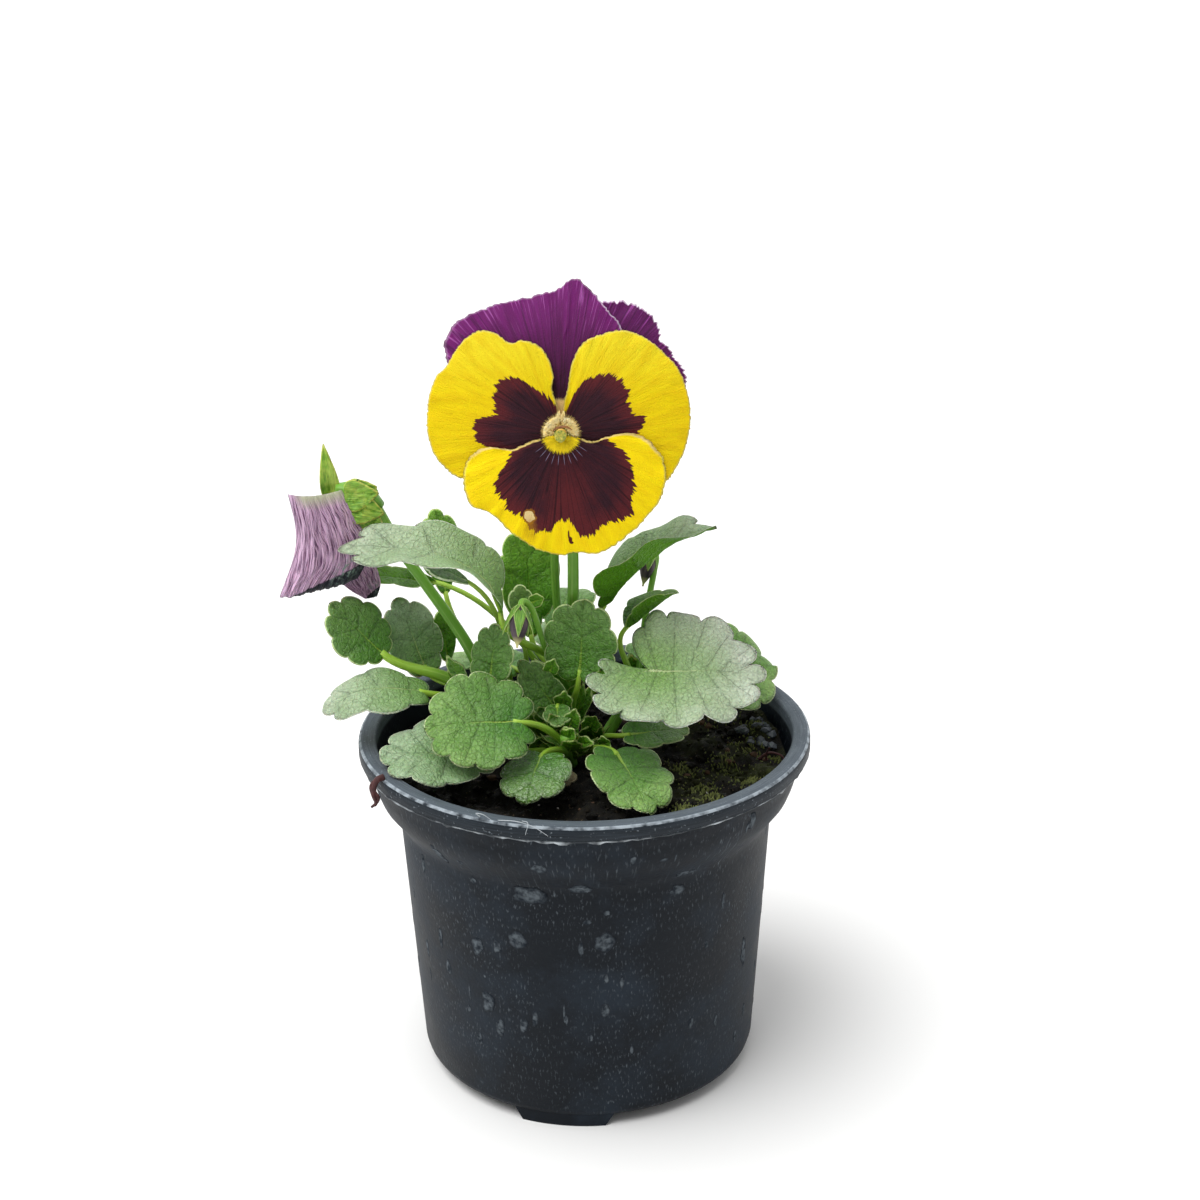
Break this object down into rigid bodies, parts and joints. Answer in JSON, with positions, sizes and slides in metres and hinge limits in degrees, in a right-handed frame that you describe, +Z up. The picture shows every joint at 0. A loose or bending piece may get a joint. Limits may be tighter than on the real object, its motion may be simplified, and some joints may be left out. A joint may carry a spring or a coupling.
{
  "type": "potted pansy planter",
  "caption": "Garden pansy in bloom with a bicoloured open flower, a faded flower and buds above scalloped leaves, growing in compost in a round black nursery pot.",
  "frame": {"origin": "on the ground under the middle of the round pot", "axes": "+Z up along the pot's axis, -Y towards the side that the open flower faces, +X to the flower's right as seen from that side"},
  "size_m": [0.1403, 0.1202, 0.2131],
  "materials": {
    "pot_plastic": "moulded, satin, scuffed",
    "peat_compost": "moist crumbly peat compost",
    "leaf_green": "satin leaf skin with sunken veins",
    "dry_leaf": "dry, papery",
    "green_stem": "satin, ribbed",
    "yellow_petal": "velvety, dark blotch in the middle",
    "purple_petal": "velvety",
    "faded_petal": "limp, crumpled",
    "throat_cream": "bearded, soft"
  },
  "bodies": {
    "root": {"pot": "pot_plastic", "compost": "peat_compost", "crown_and_shoots": "green_stem", "leaf_front_round": "leaf_green", "leaf_rim_left": "leaf_green", "leaf_front_small": "leaf_green", "leaf_front_right": "leaf_green", "leaf_low_right": "leaf_green", "leaf_right_big": "leaf_green", "leaf_right_back": "leaf_green", "leaf_centre": "leaf_green", "leaf_centre_left": "leaf_green", "leaf_left_upper": "leaf_green", "leaf_left_back": "leaf_green", "leaf_left_under": "leaf_green", "leaf_left_narrow": "leaf_green", "leaf_left_dark": "leaf_green", "leaf_left_mid": "leaf_green", "leaf_left_mid_back": "leaf_green", "leaf_left_low": "leaf_green", "leaf_right_upper": "leaf_green", "leaf_right_mid": "leaf_green", "leaf_centre_back": "leaf_green", "leaf_upright_small": "leaf_green", "leaf_inner_upper": "leaf_green", "leaf_inner_low": "leaf_green", "leaf_withered": "dry_leaf", "leaf_rear_left": "leaf_green", "leaf_rear_middle": "leaf_green", "leaf_rear_right": "leaf_green", "leaf_rear_upper": "leaf_green", "petal_upper_right": "purple_petal", "petal_upper_left": "purple_petal", "petal_side_left": "yellow_petal", "petal_side_right": "yellow_petal", "petal_lower": "yellow_petal", "throat": "throat_cream", "faded_petal_front": "faded_petal", "faded_petal_back": "faded_petal", "faded_petal_lower": "faded_petal", "flower_stalk_and_calyx": "green_stem", "faded_stalk_and_calyx": "green_stem", "bud_front": "green_stem", "bud_right": "green_stem", "bud_rear": "green_stem"}
  },
  "joints": []
}
